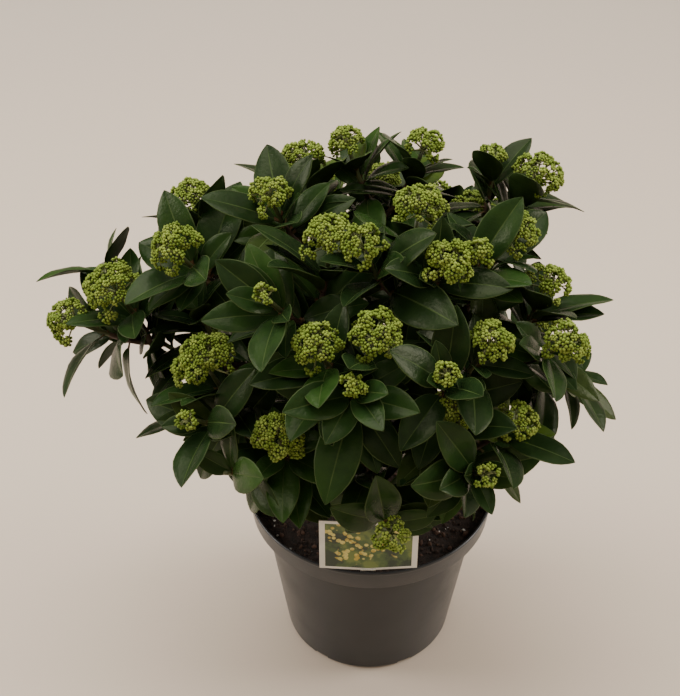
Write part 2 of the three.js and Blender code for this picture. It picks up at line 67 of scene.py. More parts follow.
# how far solids that would touch stand apart
GAP = 0.3
POT = Sizes(
    height=174.0, rim=115.0, collar_depth=22.0, collar=112.5, wall_top=101.5,
    base=82.0, edge=5.0, wall=2.2, floor=7.0,
    notches=6, first_notch=-35.0, notch_width=15.0, notch_height=5.0, notch_depth=7.0,
)
SOIL = Sizes(
    rim_drop=12.0, mound=3.0, mound_top=26.0, mound_slope=90.0, clod=0.9, crumb=0.5, settled=0.6,
    even_from=118.0, even_over=12.0, brim=0.7, side=2.6, clear=4.0,
)
CARD = Sizes(
    width=85.0, height=58.0, thickness=1.0, crease=3.0, x=-4.0, setback=111.4,
    lift=1.2, stake_width=13.0, stake_tilt=31.0, stake_length=46.0, stake_root=2.0,
    point=8.0, point_half=1.2,
    shaded=14.0, sight_rise=0.7, clear=3.0, behind=6.0, border=(5.0, 2.6, 3.0), crease_half=0.6,
)
TRUNK = Sizes(
    top=208.0, foot_radius=18.0, radius=12.5, top_radius=10.0, lean=(5.0, -3.0),
    flare_fall=4, ridges=5, ridge=0.14,
)
LIMB = Sizes(start=7.0, end=5.0, sunk=6.0, out=0.28, up=0.22, arrive=0.4)
BOUGH = Sizes(start=4.2, end=3.2, leave=0.3, arrive=0.4)

# azimuth, reach and height of a limb's end, and where on the trunk it leaves
LIMBS = {
    "front_right": (28, 52, 318, 1.0),
    "back_left": (-150, 62, 316, 0.96),
    "left": (-94, 96, 296, 0.9),
    "right": (74, 92, 300, 0.84),
    "back_right": (145, 66, 312, 0.88),
    "front_left": (-36, 62, 306, 0.8),
}
# limb, where the bough leaves it, azimuth, reach and height of the middle of the mass, spread and
# turn of its shoots, diameters of their flower heads (0: leaves only), and seed
MASSES = {
    "far_left": ("left", 1.0, -90, 233, 392, 31, -63, (38, 48, 0), 110661),
    "left_high": ("left", 0.85, -98, 159, 447, 40, 3, (39, 38), 63529),
    "left_low": ("left", 0.7, -56, 171, 366, 26, 130, (50, 18), 32913),
    "top_left": ("back_left", 0.9, -121, 85, 478, 36, 11, (34, 35), 32956),
    "top": ("back_right", 0.85, 173, 81, 488, 33, 5, (30, 32), 30260),
    "upper_left": ("front_left", 1.0, -41, 92, 464, 36, 88, (42, 20), 66009),
    "upper_right": ("front_right", 1.0, 25, 58, 479, 38, 52, (43, 32, 36), 64913),
    "top_right": ("back_right", 1.0, 119, 136, 475, 21, -134, (40, 24), 71864),
    "right_high": ("right", 0.75, 63, 101, 472, 22, -14, (42, 24), 75355),
    "right": ("right", 1.0, 62, 157, 425, 30, 39, (37, 34), 71983),
    "centre_right": ("front_right", 0.85, 28, 143, 421, 24, 16, (36, 20), 65102),
    "right_low": ("front_right", 0.6, 30, 165, 360, 31, 0, (32, 34, 20), 91982),
    "centre": ("front_left", 0.85, -10, 131, 426, 26, 168, (37, 20, 42), 33530),
    "front_left": ("front_left", 0.6, -36, 166, 333, 26, 60, (42, 0), 92063),
    "front": ("front_right", 0.4, 0, 146, 314, 42, 105, (36, 28), 91593),
    "back": ("back_left", 1.0, -172, 142, 420, 34, 20, (38, 34, 36), 60750),
    "back_left": ("back_left", 0.7, -135, 160, 390, 34, 60, (40, 36), 73478),
    "back_right": ("back_right", 0.7, 146, 160, 395, 36, 0, (36, 40, 30), 33826),
    "left_middle": ("left", 0.75, -84, 166, 372, 24, 90, (0, 0), 92601),
    "side_left": ("left", 0.5, -68, 146, 300, 26, 30, (0, 0), 90712),
    "side_right": ("right", 0.6, 84, 156, 350, 28, 40, (34, 0), 1029),
    "back_low": ("back_right", 0.5, 175, 150, 315, 34, 0, (34, 0), 71426),
    "back_side": ("back_left", 0.5, -118, 155, 305, 30, 0, (30, 0), 72626),
}
CROWN_FOOT = np.array((0.0, 0.0, 200.0))
SHOOT = Sizes(
    upturn=0.35, fork_depth=66.0, stem_length=20.0, lean=0.35, stem=3.2, fork=2.8,
    end=1.8, peduncle=15.0, head_sink=3.0, head_foot=-0.3, leave=0.2, arrive=0.45,
)
LEAF = Sizes(
    golden=137.5, pitch_jitter=9.0, turn_jitter=14.0, size_jitter=0.12, rise=0.35,
    top_droop=0.14, low_droop=0.4, droop_by_place=0.6, droop_by_chance=0.4, share=0.44,
)
# leaves, first one's distance below the shoot's tip, depth, pitch and length at the top and below
WHORLS = ((8, 1.0, 32.0, 50.0, 95.0, 60.0, 82.0), (3, 44.0, 22.0, 75.0, 95.0, 62.0, 76.0))
# the ways in which a leaf may stand, in turn: degrees added to its pitch, share of its length
LEAF_TRIES = ((0, 1), (-16, 1), (12, 0.9), (-14, 0.8), (-30, 0.85), (10, 0.7), (-20, 0.65))

# ---- Named sizes of what only the looks have ----

# the finer growth: young leaves close under the tip, and shaded leaves further down
FINE_WHORLS = ((3, 2.0, 12.0, 34.0, 55.0, 40.0, 58.0), (7, 10.0, 58.0, 62.0, 100.0, 58.0, 82.0))
FINE_TRIES = ((0, 1), (-14, 0.9), (14, 0.85), (-24, 0.75), (18, 0.7))
FINE_SEED = 4400
# the finer leaves stay above this height, which rises outwards from the pot's rim
FINE_SKIRT = Sizes(height=194.0, slope=1.6)
# how near a solid's corner lies to the tip of a leaf that the solid has
TIP_MATCH = 0.3
# where a leaf is tested for room: three places along it, and how far out to its sides
TEST = Sizes(foot=0.1, wide=0.45, far=0.75, side=0.85)
# a mass's own space: points along its shoots and in its heads, how far a leaf may reach past the
# middle between two masses, how far away leaves and twigs are looked at, and a twig's points
SPACE = Sizes(along=(0.35, 0.7), head=0.3, past=20.0, leaves=90.0, twigs=60.0, path=6)
# a blade: its width as a share of its length, how it folds up from the rib and curls down at its
# edges, its waves, twist and sideways bend, its thickness, its stalk and the groove over the rib
BLADE = Sizes(
    share=0.45, width_jitter=0.08, fold=0.36, fold_spread=0.16, fold_from=0.04, fold_over=0.16,
    recurve=0.2, wave=0.05, waves=1.9, wave_shift=1.3, twist=14.0, bend=0.04, thick=0.4,
    stalk_thick=1.1, stalk_end=0.1, stalk_half=1.0, rib_full=1.6, rib_end=0.99, tip_half=0.12,
    blunt=0.62, drawn_out=0.24, groove=0.35, groove_half=0.12,
)

# bark: how deep it is on the trunk, limbs and twigs, and the length of its ridges and growth rings
BARK = Sizes(
    deep=2.2, fine=0.9, bough_share=0.7, twig=0.3, grain=2.4, ridge=11.0, ring=23.0,
    octaves=4, middle=0.6, ring_share=0.5, ring_sharpness=12, apart=40.0, trunk_phase=0.4,
)
# how many sides the meshes have, and how many steps along the wood
MESH = Sizes(
    trunk=(72, 64), limb=(28, 70), bough=(18, 44), stem=(12, 8), twig=(10, 16),
    pot=144, soil=120, floor=96,
)
# where along a twig its bark turns to brown skin, and that to green
TWIG = Sizes(brown=0.3, green=0.62)
# how far a lump's points are pushed in or out, and how much it is stretched
LUMP = Sizes(dents=(0.62, 1.2), stretch=(0.6, 1.25))
# what lies on the soil: how many, from which to which size, which material, how far they stand out
CRUMBS = ((1500, (0.7, 2.1), 1, 0.1), (260, (1.2, 3.2), 2, 0.1), (130, (0.6, 1.7), 3, 0.45))

SOIL_SEED = 31
CROWN_SEED = 70

MILLIMETRE = 0.001
# a turned profile starts this near its axis
AXIS = 0.01


# ---- Small helpers ----


def unit(v):
    return v / norm(v)


def mix(a, b, t):
    return a + (b - a) * t


def turns(number):
    """So many angles, evenly round a circle."""
    return 2 * pi * np.arange(number) / number


def polar(azimuth, reach, height):
    """The point at this azimuth in degrees: 0 is the front, 90 the right."""
    angle = radians(azimuth)
    return np.array((reach * sin(angle), -reach * cos(angle), height))


class Rolls:
    """The source's seeded generator of numbers from 0 to 1."""

    def __init__(self, seed):
        self.state = seed

    def __call__(self):
        whole = 0xFFFFFFFF
        self.state = (self.state + 0x6D2B79F5) & whole
        state = self.state
        mixed = ((state ^ (state >> 15)) * (1 | state)) & whole
        mixed = ((mixed + (mixed ^ (mixed >> 7)) * (61 | mixed)) & whole) ^ mixed
        return ((mixed ^ (mixed >> 14)) & whole) / (whole + 1)


class Curve:
    """A cubic Bezier curve by its parameter from 0 to 1."""

    def __init__(self, *points):
        self.a, self.b, self.c, self.d = points

    def at(self, t):
        s = 1 - t
        return s**3 * self.a + 3 * s * s * t * self.b + 3 * s * t * t * self.c + t**3 * self.d

    def heading(self, t):
        s = 1 - t
        first, second, third = self.b - self.a, self.c - self.b, self.d - self.c
        return unit(s * s * first + 2 * s * t * second + t * t * third)


def link(name, data):
    obj = bpy.data.objects.new(name, data)
    bpy.context.scene.collection.objects.link(obj)
    return obj


class Piece:
    """Collects closed shapes, in millimetres, and makes one mesh object of them."""

    def __init__(self):
        self.points = []
        self.faces = {3: [], 4: []}
        self.kinds = {3: [], 4: []}
        self.count = 0

    def add(self, points, *parts):
        """Adds one closed shape: its points (n, 3), and parts of its surface.

        A part is faces (m, 3 or 4) that index the points, and the number of their material.
        """
        for faces, kinds in parts:
            faces = np.asarray(faces, np.int64)
            corners = faces.shape[1]
            self.faces[corners].append(faces + self.count)
            self.kinds[corners].append(np.broadcast_to(kinds, len(faces)))
        self.points.append(points)
        self.count += len(points)

    def mesh(self, name):
        """One mesh of all the shapes: first the quads, then the triangles."""
        mesh = bpy.data.meshes.new(name)
        faces = [face for part in self.faces[4] + self.faces[3] for face in part.tolist()]
        mesh.from_pydata((np.concatenate(self.points) * MILLIMETRE).tolist(), [], faces)
        kinds = np.concatenate(self.kinds[4] + self.kinds[3])
        mesh.polygons.foreach_set("material_index", kinds.astype(np.int32))
        return mesh

    def build(self, name, materials, nodes, smooth=True):
        mesh = self.mesh(name)
        if smooth:
            mesh.shade_smooth()
        for material in materials:
            mesh.materials.append(material)
        obj = link(name, mesh)
        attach(obj, "root")
        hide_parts(*nodes)
        return obj


def ring_faces(rings, sides):
    """Quads between rings that follow one another."""
    row, side = np.meshgrid(np.arange(rings - 1), np.arange(sides), indexing="ij")
    after = (side + 1) % sides
    near, far = row * sides, (row + 1) * sides
    return np.stack((near + side, near + after, far + after, far + side), -1).reshape(-1, 4)


def fan(start, sides, flip):
    """Triangles that close a ring whose first point has this number."""
    k = np.arange(1, sides - 1)
    ends = (np.full(len(k), start), start + k, start + k + 1)
    return np.stack(ends[::-1] if flip else ends, -1)


def add_rings(piece, points, sides, kinds=0, ends=(0, 0), inverted=False):
    """A closed shape of rings that follow one another, with a cap at either end."""
    quads = ring_faces(len(points) // sides, sides)
    first = fan(0, sides, not inverted)
    last = fan(len(points) - sides, sides, inverted)
    wall = quads[:, ::-1] if inverted else quads
    piece.add(points, (wall, kinds), (first, ends[0]), (last, ends[1]))


def frame_of(axis):
    """Two directions across an axis; it never runs along the odd one that starts them."""
    across = unit(np.cross(axis, (0.31, 0.53, 0.79)))
    return across, np.cross(axis, across)


def tube(piece, curve, radii, sides, steps, relief=None, kind_at=lambda t: 0):
    """A tapering limb: kind_at takes the way along it, from 0 to 1."""
    ts = np.linspace(0, 1, steps + 1)
    length = sum(norm(curve.at(b) - curve.at(a)) for a, b in zip(ts, ts[1:]))
    across = frame_of(curve.heading(0))[0]
    angles = turns(sides)
    points = []
    for t in ts:
        heading = curve.heading(t)
        across = unit(across - heading * across.dot(heading))
        over = np.cross(heading, across)
        radius = np.full(sides, float(mix(*radii, t)))
        if relief is not None:
            radius = radius + relief(angles, t * length)
        ring = np.cos(angles)[:, None] * across + np.sin(angles)[:, None] * over
        points.append(curve.at(t) + ring * radius[:, None])
    kinds = np.repeat([kind_at((a + b) / 2) for a, b in zip(ts, ts[1:])], sides)
    add_rings(piece, np.concatenate(points), sides, kinds, (kind_at(0), kind_at(1)))


def lathe(profile, segments):
    """The points of a profile of (radius, height) turned about the vertical axis, row by row."""
    radius, height = np.array(profile, float).T[:, :, None]
    angles = turns(segments)
    rows = (radius * np.cos(angles), radius * np.sin(angles), height + 0 * angles)
    return np.stack(rows, -1).reshape(-1, 3)


# ---- Materials ----


class Finish:
    """A Principled material with its noise, ramps and bump in object coordinates."""

    def __init__(self, name, color, roughness, **inputs):
        self.material = bpy.data.materials.new(name)
        self.material.use_nodes = True
        self.tree = self.material.node_tree
        self.shader = self.tree.nodes["Principled BSDF"]
        self.feed(self.shader, Base_Color=(*color, 1), Roughness=roughness, **inputs)
        self.coordinates = self.tree.nodes.new("ShaderNodeTexCoord").outputs["Object"]

    def feed(self, node, **inputs):
        """Gives a node's inputs their values, or joins them to sockets; _ stands for a space."""
        for key, value in inputs.items():
            socket = node.inputs[key.replace("_", " ")]
            if isinstance(value, bpy.types.NodeSocket):
                self.tree.links.new(value, socket)
            else:
                socket.default_value = value
        return node

    def node(self, kind, **inputs):
        return self.feed(self.tree.nodes.new(f"ShaderNode{kind}"), **inputs)

    def stretched(self, scale):
        return self.node("Mapping", Vector=self.coordinates, Scale=scale).outputs["Vector"]

    def noise(self, scale, detail=4.0, stretch=(1, 1, 1)):
        place = self.stretched(stretch)
        return self.node("TexNoise", Vector=place, Scale=scale, Detail=detail).outputs["Fac"]

    def cells(self, scale):
        return self.node("TexVoronoi", Vector=self.coordinates, Scale=scale).outputs["Distance"]

    def away(self, reach):
        """1 at the origin, falling to 0 at this distance from it, in metres."""
        gradient = self.node("TexGradient", Vector=self.stretched((1 / reach,) * 3))
        gradient.gradient_type = "SPHERICAL"
        return gradient.outputs["Fac"]

    def ramp(self, factor, *stops, smooth=True):
        ramp = self.node("ValToRGB", Fac=factor)
        ramp.color_ramp.interpolation = "EASE" if smooth else "LINEAR"
        elements = ramp.color_ramp.elements
        while len(elements) < len(stops):
            elements.new(1.0)
        for element, (place, color) in zip(elements, stops):
            element.position = place
            element.color = (*color, 1) if hasattr(color, "__len__") else (color, color, color, 1)
        return ramp.outputs["Color"]

    def blend(self, factor, first, second):
        return self.node("MixRGB", Fac=factor, Color1=first, Color2=second).outputs["Color"]

    def color(self, source):
        self.feed(self.shader, Base_Color=source)

    def roughness(self, source):
        self.feed(self.shader, Roughness=source)

    def bump(self, source, distance):
        bump = self.node("Bump", Height=source, Strength=1.0, Distance=distance)
        self.feed(self.shader, Normal=bump.outputs["Normal"])


def mottled(name, dark, light, roughness, scale, distance, **inputs):
    """A finish that wanders between two colours, with a fine relief."""
    finish = Finish(name, mix(np.array(dark), np.array(light), 0.5), roughness, **inputs)
    finish.color(finish.ramp(finish.noise(scale), (0.3, dark), (0.7, light)))
    finish.bump(finish.noise(6 * scale), distance)
    return finish.material


# leaf greens, each from a darker to a lighter tone; dealt out by spray
LEAF_GREENS = (
    ((0.009, 0.021, 0.006), (0.014, 0.031, 0.008)),
    ((0.011, 0.028, 0.007), (0.018, 0.042, 0.009)),
    ((0.015, 0.040, 0.007), (0.026, 0.060, 0.011)),
    ((0.017, 0.031, 0.006), (0.028, 0.046, 0.009)),
    ((0.038, 0.070, 0.009), (0.060, 0.100, 0.014)),
)
LEAF_GLOSS = {"Specular_IOR_Level": 0.11, "Specular_Tint": (1.0, 0.97, 0.66, 1.0)}
LEAF_KINDS = len(LEAF_GREENS)
# how often each green is a spray's own, how often a leaf takes it, and how often another instead
SPRAY_GREENS = (0.34, 0.33, 0.2, 0.08, 0.05)
OWN_GREEN = 0.68
OTHER_GREENS = (0.3, 0.3, 0.2, 0.13, 0.07)
RIB, EDGE, UNDER, STALK = (LEAF_KINDS + k for k in range(4))


def leaf_materials():
    greens = [
        mottled(f"leaf_green_{k}", dark, light, 0.27, 60, 0.0003, **LEAF_GLOSS)
        for k, (dark, light) in enumerate(LEAF_GREENS)
    ]

    def dull(name, *finish):
        return mottled(name, *finish, Specular_IOR_Level=0.08)

    rib = dull("leaf_rib", (0.032, 0.055, 0.013), (0.052, 0.081, 0.021), 0.45, 80, 0.0002)
    edge = dull("leaf_edge", (0.036, 0.057, 0.016), (0.058, 0.086, 0.026), 0.45, 80, 0.0002)
    under = dull("leaf_underside", (0.014, 0.030, 0.006), (0.023, 0.044, 0.010), 0.55, 70, 0.0003)
    stalk = dull("leaf_stalk", (0.070, 0.030, 0.014), (0.080, 0.062, 0.022), 0.5, 90, 0.0003)
    return [*greens, rib, edge, under, stalk]


# bud tints, each from the foot, darker with painted shade, to the tip, paler with a painted
# highlight, and how often a cluster takes each
BUD_TINTS = (
    ((0.112, 0.166, 0.019), (0.206, 0.278, 0.041)),
    ((0.142, 0.200, 0.025), (0.258, 0.326, 0.060)),
    ((0.090, 0.139, 0.015), (0.163, 0.230, 0.031)),
)
TINT_SHARES = (0.42, 0.33, 0.25)


def bud_materials():
    """For each tint, the bud's foot, darker with painted shade, and its tip, paler with a painted
    highlight; then the thin stalks.
    """
    made = []
    dull = {"Specular_IOR_Level": 0.12}
    for k, (foot, tip) in enumerate(np.array(BUD_TINTS)):
        made.append(mottled(f"bud_foot_painted_shade_{k}", foot, mix(foot, tip, 0.35), 0.6, 220, 0.0002, **dull))
        made.append(mottled(f"bud_tip_painted_highlight_{k}", mix(foot, tip, 0.7), tip, 0.55, 220, 0.0002, **dull))
    made.append(mottled("bud_stalk", (0.11, 0.14, 0.030), (0.27, 0.29, 0.11), 0.6, 200, 0.0002))
    return made


def wood_materials():
    bark = Finish("bark", (0.075, 0.052, 0.034), 0.85, Specular_IOR_Level=0.25)
    along = (1, 1, 0.4)
    dark, brown, pale = (0.030, 0.019, 0.012), (0.072, 0.049, 0.031), (0.130, 0.104, 0.072)
    grain = bark.noise(60, 8, along)
    bark.color(bark.ramp(grain, (0.28, dark), (0.5, brown), (0.74, pale)))
    bark.bump(bark.noise(220, 6, along), 0.0012)
    twig = mottled("twig_brown", (0.045, 0.022, 0.013), (0.085, 0.048, 0.026), 0.6, 90, 0.0005)
    green = mottled("twig_green", (0.050, 0.062, 0.018), (0.085, 0.098, 0.032), 0.5, 90, 0.0003)
    return [bark.material, twig, green]


def pot_material():
    gloss = {"Specular_IOR_Level": 0.28, "Sheen_Weight": 0.08}
    pot = Finish("pot_plastic", (0.0145, 0.0158, 0.0175), 0.34, **gloss)
    dark, light = (0.0120, 0.0132, 0.0148), (0.0172, 0.0186, 0.0204)
    pot.color(pot.ramp(pot.noise(14, 5), (0.3, dark), (0.7, light)))
    pot.roughness(pot.ramp(pot.noise(35, 6), (0.3, 0.29), (0.75, 0.39)))
    pot.bump(pot.noise(900, 3), 0.00008)
    return pot.material


def soil_materials():
    peat = mottled("peat", (0.010, 0.006, 0.004), (0.032, 0.018, 0.012), 0.95, 160, 0.002)
    crumb = mottled("peat_crumb", (0.022, 0.012, 0.008), (0.05, 0.028, 0.018), 0.95, 240, 0.001)
    chip = mottled("bark_chip", (0.05, 0.024, 0.014), (0.10, 0.05, 0.03), 0.9, 200, 0.001)
    grain = mottled("white_grain", (0.50, 0.48, 0.43), (0.72, 0.70, 0.66), 0.8, 400, 0.0006)
    return [peat, crumb, chip, grain]


def card_materials():
    white = mottled("card_white", (0.62, 0.61, 0.56), (0.70, 0.69, 0.64), 0.4, 60, 0.0001)
    picture = Finish("card_print", (0.2, 0.25, 0.08), 0.32)
    greens = (0.40, (0.010, 0.026, 0.010)), (0.5, (0.045, 0.09, 0.018)), (0.62, (0.12, 0.17, 0.03))
    ground = picture.ramp(picture.noise(60, 4), *greens)
    yellows = (0.35, (0.40, 0.29, 0.03)), (0.65, (0.58, 0.53, 0.17))
    petals = picture.ramp(picture.noise(240, 2), *yellows)
    fleck = picture.ramp(picture.cells(210), (0.42, 1.0), (0.52, 0.0), smooth=False)
    bunch = picture.ramp(picture.noise(42, 1), (0.50, 0.0), (0.53, 1.0), smooth=False)
    picture.color(picture.blend(bunch, ground, picture.blend(fleck, ground, petals)))
    return [white, picture.material]


# ---- Growth: the source's rule ----


def mass_frame(azimuth, reach, height):
    """A mass's middle, its axis and two directions across it, and its bough's end and fork."""
    middle = polar(azimuth, reach, height)
    axis = unit(unit(middle - CROWN_FOOT) + UP * SHOOT.upturn)
    across = unit(np.cross(UP, axis))
    over = np.cross(axis, across)
    fork = middle - axis * SHOOT.fork_depth
    root = fork - axis * SHOOT.stem_length
    return Sizes(middle=middle, axis=axis, across=across, over=over, fork=fork, root=root)


class Shoot:
    """A twig from a mass's fork to its tip, under a flower head if it bears one."""

    def __init__(self, base, spread, angle, diameter):
        outward = cos(angle) * base.across + sin(angle) * base.over
        self.diameter = diameter
        self.head = base.middle + outward * spread
        self.lean = unit(base.axis + outward * SHOOT.lean)
        sink = SHOOT.head_sink if diameter else 0
        self.top = self.head + self.lean * (diameter * SHOOT.head_foot + sink)
        fork = base.fork
        self.length = norm(fork - self.top)
        first = fork + (base.axis + outward) * SHOOT.leave * self.length
        second = self.top - self.lean * SHOOT.arrive * self.length
        self.curve = Curve(fork, first, second, self.top)
        self.bare = SHOOT.peduncle if diameter else 0


class Mass:
    """The shoots and leaves at the end of one bough."""

    def __init__(self, name, row):
        self.name = name
        self.limb, self.leave, azimuth, reach, height, spread, turn, heads, self.seed = row
        self.base = mass_frame(azimuth, reach, height)
        count = len(heads)
        angles = [radians(turn + 360 * k / count) for k in range(count)]
        self.shoots = [Shoot(self.base, spread, angle, d) for angle, d in zip(angles, heads)]
        sites = [self.base.root, self.base.fork]
        for shoot in self.shoots:
            sites += [shoot.curve.at(t) for t in SPACE.along]
            sites += [shoot.top, shoot.head + shoot.lean * SPACE.head * shoot.diameter]
        self.sites = np.array(sites)
        self.leaves = []


class Leaf:
    """A leaf set out from its root on a shoot: along is its distance below the shoot's tip."""

    def __init__(self, shoot, along, turn, pitch, length, droop):
        t = max(0.0, 1 - along / shoot.length)
        self.root = shoot.curve.at(t)
        stem = shoot.curve.heading(t)
        across = unit(np.cross(UP, stem))
        outward = cos(turn) * across + sin(turn) * np.cross(stem, across)
        self.heading = stem * cos(pitch) + outward * sin(pitch)
        self.upper = stem * sin(pitch) - outward * cos(pitch)
        self.side = np.cross(self.heading, self.upper)
        self.length = length
        self.droop = droop
        self.shoot = shoot

    def at(self, x, y=0.0):
        """A point on the blade: x runs from its root to its tip, y from -1 to 1 across it."""
        half = LEAF.share * self.length / 2
        arch = self.droop * (LEAF.rise * x - x * x) * self.length
        lift = arch + BLADE.fold * abs(y) * half
        return self.root + self.heading * x * self.length + self.side * y * half + self.upper * lift

    def blade(self):
        """The blade's two halves as four triangles, to tell whether two leaves cross."""
        a, d = self.at(TEST.foot), self.at(1.0)
        b, m, c = (self.at(TEST.wide, side) for side in (-TEST.side, 0.0, TEST.side))
        return np.array(((a, b, m), (a, m, c), (b, d, m), (m, d, c)))


def whorl_leaves(whorl, shoot, rolls, tries):
    """For each leaf of a whorl, the ways in which it may stand, the first one first."""
    count, start, depth, top_pitch, low_pitch, top_length, low_length = whorl
    first_turn = 360 * rolls()
    for i in range(count):
        low = i / (count - 1)
        turn = radians(first_turn + LEAF.golden * i + LEAF.turn_jitter * (2 * rolls() - 1))
        pitch = mix(top_pitch, low_pitch, low) + LEAF.pitch_jitter * (2 * rolls() - 1)
        length = mix(top_length, low_length, low) * (1 + LEAF.size_jitter * (2 * rolls() - 1))
        sag = LEAF.droop_by_place * low + LEAF.droop_by_chance * rolls()
        along = shoot.bare + start + depth * low
        droop = mix(LEAF.top_droop, LEAF.low_droop, sag)
        yield [
            Leaf(shoot, along, turn, radians(pitch + steeper), length * share, droop)
            for steeper, share in tries
        ]


def corner_tree(node):
    """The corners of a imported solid, in millimetres, for finding the nearest one."""
    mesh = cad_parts[node].data
    tree = KDTree(len(mesh.vertices))
    for vertex in mesh.vertices:
        tree.insert(vertex.co / MILLIMETRE, vertex.index)
    tree.balance()
    return tree


def grow_main_leaves(mass):
    """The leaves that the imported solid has: each stands in the first way whose tip is there."""
    rolls = Rolls(mass.seed)
    corners = corner_tree(f"foliage_{mass.name}")
    for shoot in mass.shoots:
        for whorl in WHORLS:
            for ways in whorl_leaves(whorl, shoot, rolls, LEAF_TRIES):
                found = [leaf for leaf in ways if corners.find(Vector(leaf.at(1.0)))[2] < TIP_MATCH]
                mass.leaves += found[:1]


def is_open(point):
    """Whether a point is above the finer leaves' lower edge, and doesn't hide the card."""
    beyond_rim = max(0.0, hypot(point[0], point[1]) - POT.rim)
    if point[2] < FINE_SKIRT.height + FINE_SKIRT.slope * beyond_rim:
        return False
    in_front = -CARD.setback - point[1]
    past_card = abs(point[0] - CARD.x) >= CARD.width / 2 + CARD.clear
    card_top = POT.height + CARD.lift + CARD.height
    floor = card_top + CARD.clear
    if in_front > CARD.clear:
        floor = card_top - CARD.shaded + CARD.sight_rise * in_front
    return past_card or in_front < -CARD.behind or point[2] > floor


# stands in for a volume of nothing, which can't be divided by
TINY = 1e-9


def edges_pierce(edges, faces):
    """Whether any of the edges (n, 2, 3) goes through any of the triangles (m, 3, 3)."""
    start, way = edges[:, None, 0], (edges[:, 1] - edges[:, 0])[:, None]
    a = faces[None, :, 0]
    ab, ac = faces[None, :, 1] - a, faces[None, :, 2] - a
    p = np.cross(way, ac)
    volume = np.sum(ab * p, -1)
    volume = np.where(np.abs(volume) < TINY, TINY, volume)
    off = start - a
    u = np.sum(off * p, -1) / volume
    q = np.cross(off, ab)
    v = np.sum(way * q, -1) / volume
    t = np.sum(ac * q, -1) / volume
    return bool(np.any((u > 0) & (v > 0) & (u + v < 1) & (t > 0) & (t < 1)))


def edges_of(faces):
    """The three edges of each triangle."""
    return np.concatenate([faces[:, (k, (k + 1) % 3)] for k in range(3)])


class Crown:
    """Every blade, head and twig that stands so far, for telling whether a new leaf has room."""

    def __init__(self, masses):
        self.masses = masses
        self.blades = [leaf.blade() for mass in masses for leaf in mass.leaves]
        self.reach = {}
        for mass in masses:
            tips = [norm(leaf.at(1.0) - mass.base.middle) for leaf in mass.leaves]
            self.reach[mass.name] = max(tips)
        shoots = [shoot for mass in masses for shoot in mass.shoots]
        self.heads = np.array([shoot.head for shoot in shoots if shoot.diameter])
        self.radii = np.array([shoot.diameter / 2 for shoot in shoots if shoot.diameter])
        ts = np.linspace(0, 1, SPACE.path)
        paths = [np.array([shoot.curve.at(t) for t in ts]) for shoot in shoots]
        self.twigs = np.concatenate([np.stack((path[:-1], path[1:]), 1) for path in paths])

    def in_own_space(self, point, mass):
        own = norm(mass.sites - point, axis=1).min() - SPACE.past
        others = [other for other in self.masses if other is not mass]
        return all(norm(other.sites - point, axis=1).min() > own for other in others)

    def has_room(self, leaf, mass):
        tests = [leaf.at(TEST.wide, side) for side in (-TEST.side, TEST.side)]
        tests += [leaf.at(TEST.far), leaf.at(1.0)]
        if not all(is_open(point) and self.in_own_space(point, mass) for point in tests):
            return False
        if norm(tests[-1] - mass.base.middle) > self.reach[mass.name]:
            return False
        for point in tests:
            if np.any(norm(self.heads - point, axis=1) < self.radii):
                return False
        blade = leaf.blade()
        middle = leaf.at(0.5)
        near = [b for b in self.blades if norm(b[0, 2] - middle) < SPACE.leaves]
        twigs = self.twigs[norm(self.twigs[:, 0] - middle, axis=1) < SPACE.twigs]
        if len(twigs) and edges_pierce(twigs, blade):
            return False
        if not near:
            return True
        faces = np.concatenate(near)
        return not (edges_pierce(edges_of(blade), faces) or edges_pierce(edges_of(faces), blade))

    def grow_finer_leaves(self):
        """The whorls that only the looks have, within the same reach."""
        for number, mass in enumerate(self.masses):
            rolls = Rolls(FINE_SEED + number)
            for shoot in mass.shoots:
                for whorl in FINE_WHORLS:
                    for ways in whorl_leaves(whorl, shoot, rolls, FINE_TRIES):
                        fitting = next((leaf for leaf in ways if self.has_room(leaf, mass)), None)
                        if fitting is not None:
                            mass.leaves.append(fitting)
                            self.blades.append(fitting.blade())


# ---- Leaf meshes ----

# a leaf's mesh: rows from its stalk to its tip, columns across the top and back underneath
LEAF_ROWS = np.array(
    (-0.02, 0.05, 0.11, 0.17, 0.25, 0.35, 0.46, 0.57, 0.68, 0.78, 0.87, 0.94, 0.98, 1.0)
)
TOP_COLUMNS = (-1.0, -0.95, -0.5, -0.035, 0.035, 0.5, 0.95, 1.0)
UNDER_COLUMNS = (1.0, 0.5, 0.0, -0.5, -1.0)
LEAF_COLUMNS = np.array(TOP_COLUMNS + UNDER_COLUMNS)
IS_UNDER = np.array((0.0,) * len(TOP_COLUMNS) + (1.0,) * len(UNDER_COLUMNS))
# the material of each strip between two columns (0: the leaf's own green), but for the first rows
STRIPS = (EDGE, 0, 0, RIB, 0, 0, EDGE, EDGE, UNDER, UNDER, UNDER, UNDER, EDGE)
STALK_ROWS = 2


def half_widths(x, half):
    """Half the width of a leaf at each row: a narrow stalk, then an ellipse drawn out to a point."""
    u = np.clip((x - BLADE.stalk_end) / (1 - BLADE.stalk_end), 0, 1)
    ellipse = (4 * u * (1 - u)) ** (BLADE.blunt + BLADE.drawn_out * u)
    rib = BLADE.stalk_half * np.minimum(BLADE.rib_full - x, 1) * (x < BLADE.rib_end)
    return np.maximum(ellipse * half, rib + BLADE.tip_half)


